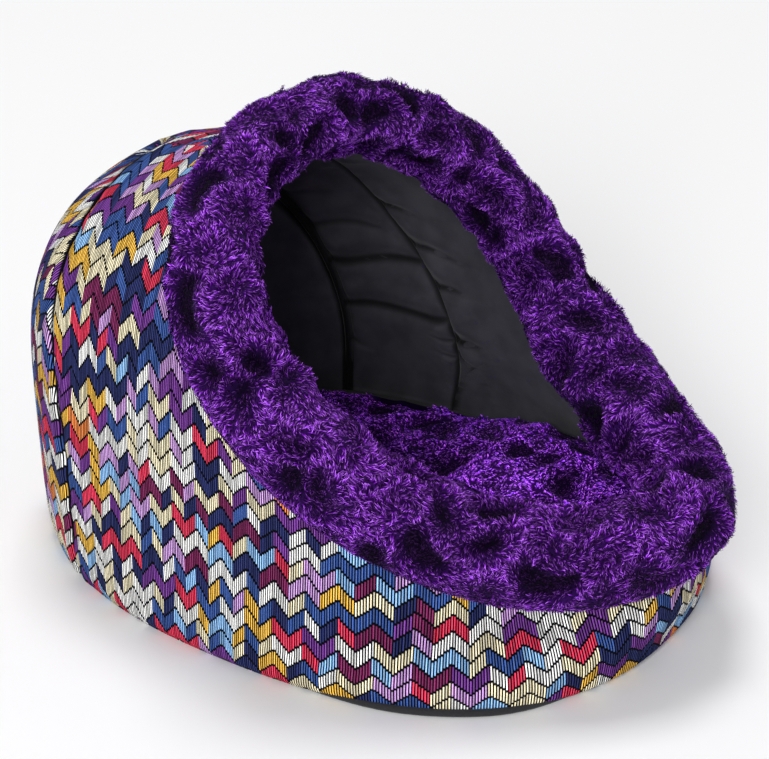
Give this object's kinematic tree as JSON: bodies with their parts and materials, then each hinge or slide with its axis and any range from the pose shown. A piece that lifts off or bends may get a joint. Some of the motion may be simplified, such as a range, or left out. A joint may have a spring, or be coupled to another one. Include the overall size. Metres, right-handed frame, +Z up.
{
  "type": "hooded plush pet bed",
  "caption": "Hooded soft pet bed: woven zigzag outer cover, dark lining, stuffed swirled plush rim round a tilted scoop mouth, plush floor cushion and flat dark base.",
  "frame": {"origin": "centre of the bounding box's bottom, on the floor under the bed", "axes": "+Z up, the mouth faces -Y, +Y to the back, +X to the right of someone looking along +Y into the mouth"},
  "size_m": [0.366, 0.4992, 0.3112],
  "materials": {
    "zigzag_cloth": "ribbed woven upholstery cloth with many coloured zigzag rows",
    "lining_cotton": "plain woven cotton with a slight sheen",
    "swirl_plush": "long plush pile laid in swirls",
    "base_cloth": "plain dark cloth"
  },
  "bodies": {
    "root": {"outer_main_panel": "zigzag_cloth", "outer_back_panel": "zigzag_cloth", "lining_front_band": "lining_cotton", "lining_middle_band": "lining_cotton", "lining_back_panel": "lining_cotton", "rim_bolster": "swirl_plush", "floor_cushion": "swirl_plush", "base_panel": "base_cloth"}
  },
  "joints": []
}
